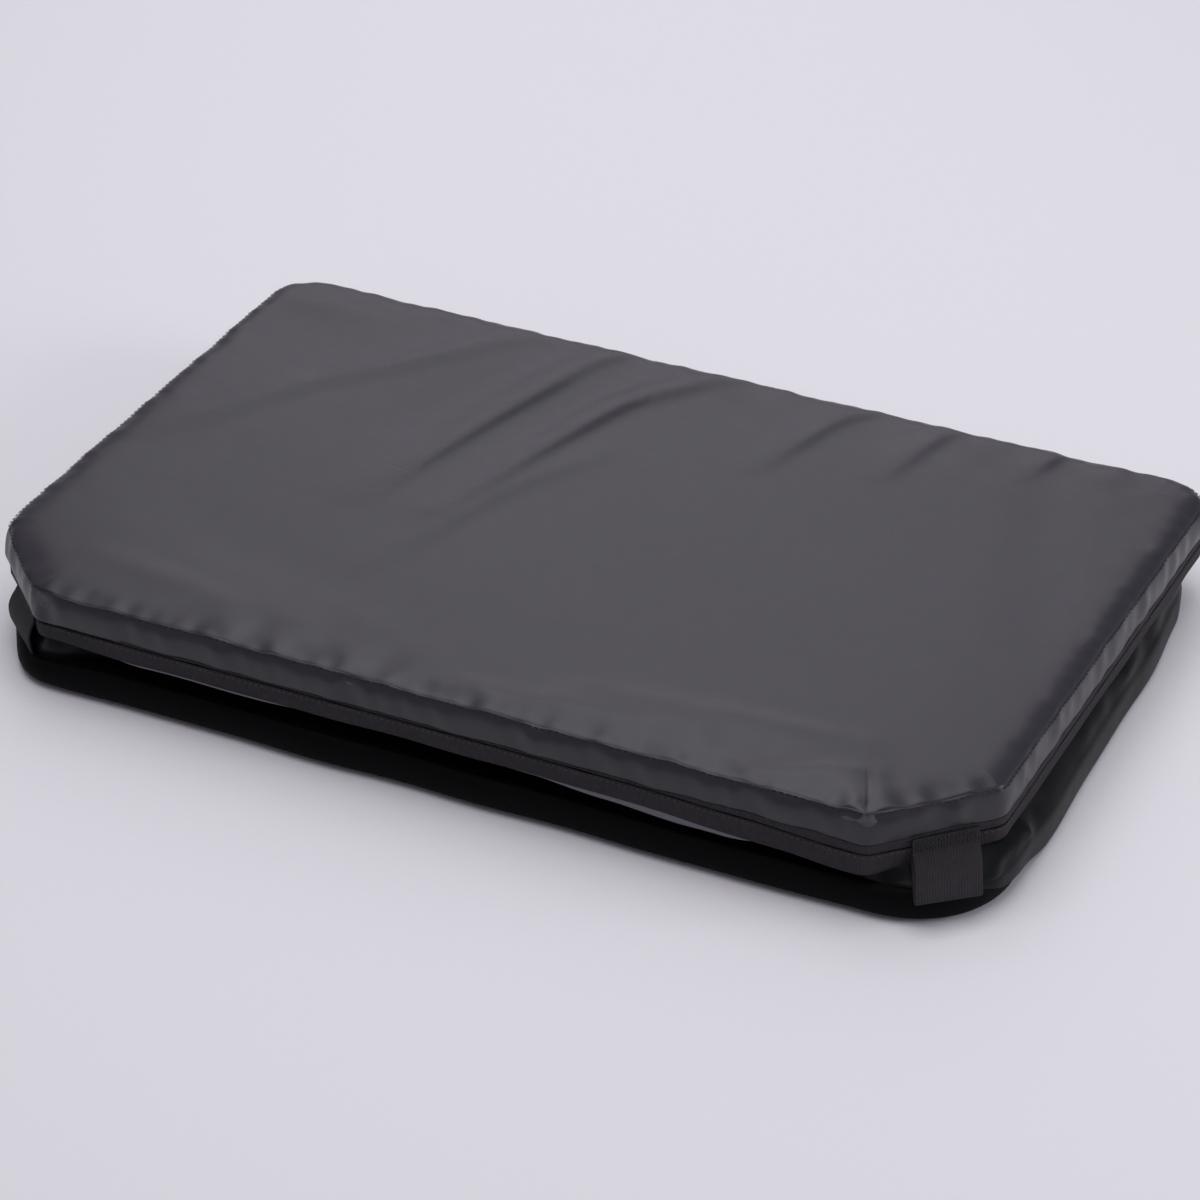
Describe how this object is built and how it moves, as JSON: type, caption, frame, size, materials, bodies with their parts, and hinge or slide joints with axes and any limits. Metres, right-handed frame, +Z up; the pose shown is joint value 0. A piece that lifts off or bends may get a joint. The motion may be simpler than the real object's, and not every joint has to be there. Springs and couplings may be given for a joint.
{
  "type": "collapsible gear box",
  "caption": "Soft-sided gear box folded flat: a padded zip-round lid hinged at the back, two clipped front corners with webbing loops, and pleated walls that rise from a stiffened base.",
  "frame": {"origin": "middle of the underside of the base, on the surface that the box stands on", "axes": "+X along the long side to the right as seen from the front, +Y towards the lid's hinge edge, +Z up"},
  "size_m": [0.612, 0.396, 0.066],
  "materials": {
    "coated_cloth": "satin coated",
    "wall_fabric": "satin coated",
    "base_fabric": "satin coated",
    "lining": "matt woven",
    "webbing": "matt woven",
    "zip_tape": "matt woven",
    "zip_coil": "semi-gloss",
    "foam": "matt",
    "board": "matt",
    "wire": "drawn",
    "slider_metal": "satin"
  },
  "bodies": {
    "base": {"base_shell": "base_fabric", "base_foam": "foam", "base_board": "board", "base_lining": "lining", "base_binding": "webbing", "wall_front": "wall_fabric", "wall_corner_front_right": "wall_fabric", "wall_right": "wall_fabric", "wall_corner_back_right": "wall_fabric", "wall_back": "wall_fabric", "wall_corner_back_left": "wall_fabric", "wall_left": "wall_fabric", "wall_corner_front_left": "wall_fabric"},
    "rim": {"rim_hem": "wall_fabric", "rim_wire": "wire", "rim_facing": "lining", "zip_tape_lower": "zip_tape", "zip_coil_lower": "zip_coil", "hinge_strip_lower": "wall_fabric", "zip_end_tab_left": "webbing", "zip_end_tab_right": "webbing"},
    "lid": {"lid_top": "coated_cloth", "lid_gusset": "coated_cloth", "lid_foam": "foam", "lid_board": "board", "lid_lining": "lining", "lid_binding": "webbing", "zip_tape_upper": "zip_tape", "zip_coil_upper": "zip_coil", "hinge_strip_upper": "wall_fabric", "loop_root_left": "webbing", "loop_root_right": "webbing"},
    "slider": {"zip_slider": "slider_metal"},
    "pull": {"zip_pull": "slider_metal"},
    "loop_left": {"loop_left": "webbing"},
    "loop_right": {"loop_right": "webbing"}
  },
  "joints": [
    {"name": "walls_rise", "type": "slide", "parent": "base", "child": "rim", "axis": [0, 0, 1], "range_m": [0, 0.2], "deforming": ["wall_front", "wall_corner_front_right", "wall_right", "wall_corner_back_right", "wall_back", "wall_corner_back_left", "wall_left", "wall_corner_front_left"]},
    {"name": "lid_hinge", "type": "hinge", "parent": "rim", "child": "lid", "pos_m": [0, 0.1983, 0.0401], "axis": [-1, 0, 0], "range_deg": [0, 180]},
    {"name": "slider_travel", "type": "slide", "parent": "rim", "child": "slider", "axis": [0, -1, 0], "range_m": [0, 0.25]},
    {"name": "pull_turn", "type": "hinge", "parent": "slider", "child": "pull", "pos_m": [-0.30521, 0.138, 0.0395], "axis": [0, 0, -1], "range_deg": [0, 180]},
    {"name": "loop_swing_left", "type": "hinge", "parent": "lid", "child": "loop_left", "pos_m": [-0.2776, -0.1711, 0.0356], "axis": [-0.7071, 0.7071, 0], "range_deg": [0, 100]},
    {"name": "loop_swing_right", "type": "hinge", "parent": "lid", "child": "loop_right", "pos_m": [0.2776, -0.1711, 0.0356], "axis": [-0.7071, -0.7071, 0], "range_deg": [0, 100]}
  ]
}
